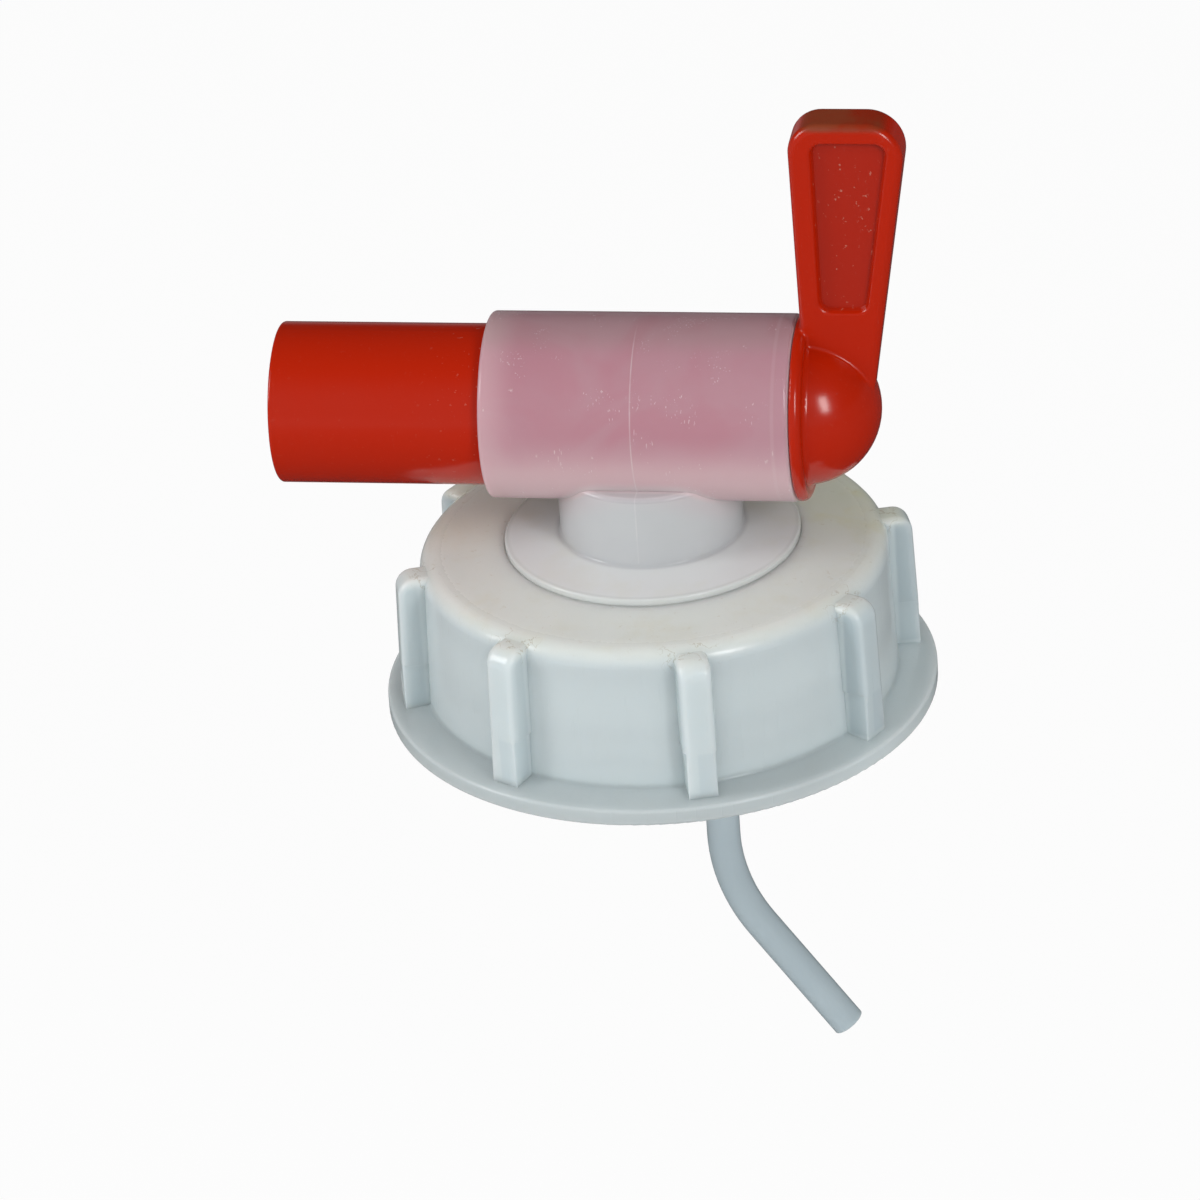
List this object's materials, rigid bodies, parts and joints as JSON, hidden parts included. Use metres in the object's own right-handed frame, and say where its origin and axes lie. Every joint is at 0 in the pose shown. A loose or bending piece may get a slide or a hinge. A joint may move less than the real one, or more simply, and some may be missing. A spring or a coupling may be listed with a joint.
{
  "type": "jerrycan tap",
  "caption": "Screw cap with a swivelling plug tap: a lever turns the spout's plug through a quarter turn to open it, and a bent tube vents the can.",
  "frame": {"origin": "centre of the cap's mouth, in the bottom plane of its rim", "axes": "+Z along the cap's axis, up out of the can; -X along the barrel towards the spout's mouth; +X towards the lever; the lever stands along +Z while the tap is shut"},
  "size_m": [0.0867, 0.075, 0.141],
  "materials": {
    "cap_plastic": "natural polyethylene, milky and slightly see-through, softly glossy",
    "body_plastic": "natural polyethylene, milky, with the red plug showing through the barrel",
    "plug_plastic": "glossy red moulded plastic",
    "gasket_foam": "matte white closed-cell foam",
    "tube_plastic": "milky drawn polyethylene"
  },
  "bodies": {
    "cap": {"screw_cap": "cap_plastic"},
    "tap": {"tap_body": "body_plastic", "gasket": "gasket_foam", "vent_tube": "tube_plastic"},
    "plug": {"rotary_plug": "plug_plastic"}
  },
  "joints": [
    {"name": "cap_swivel", "type": "hinge", "parent": "cap", "child": "tap", "pos_m": [0, 0, 0], "axis": [0, 0, 1], "continuous": true},
    {"name": "lever_turn", "type": "hinge", "parent": "tap", "child": "plug", "pos_m": [0, 0, 0.043], "axis": [-1, 0, 0], "range_deg": [0, 90]}
  ]
}
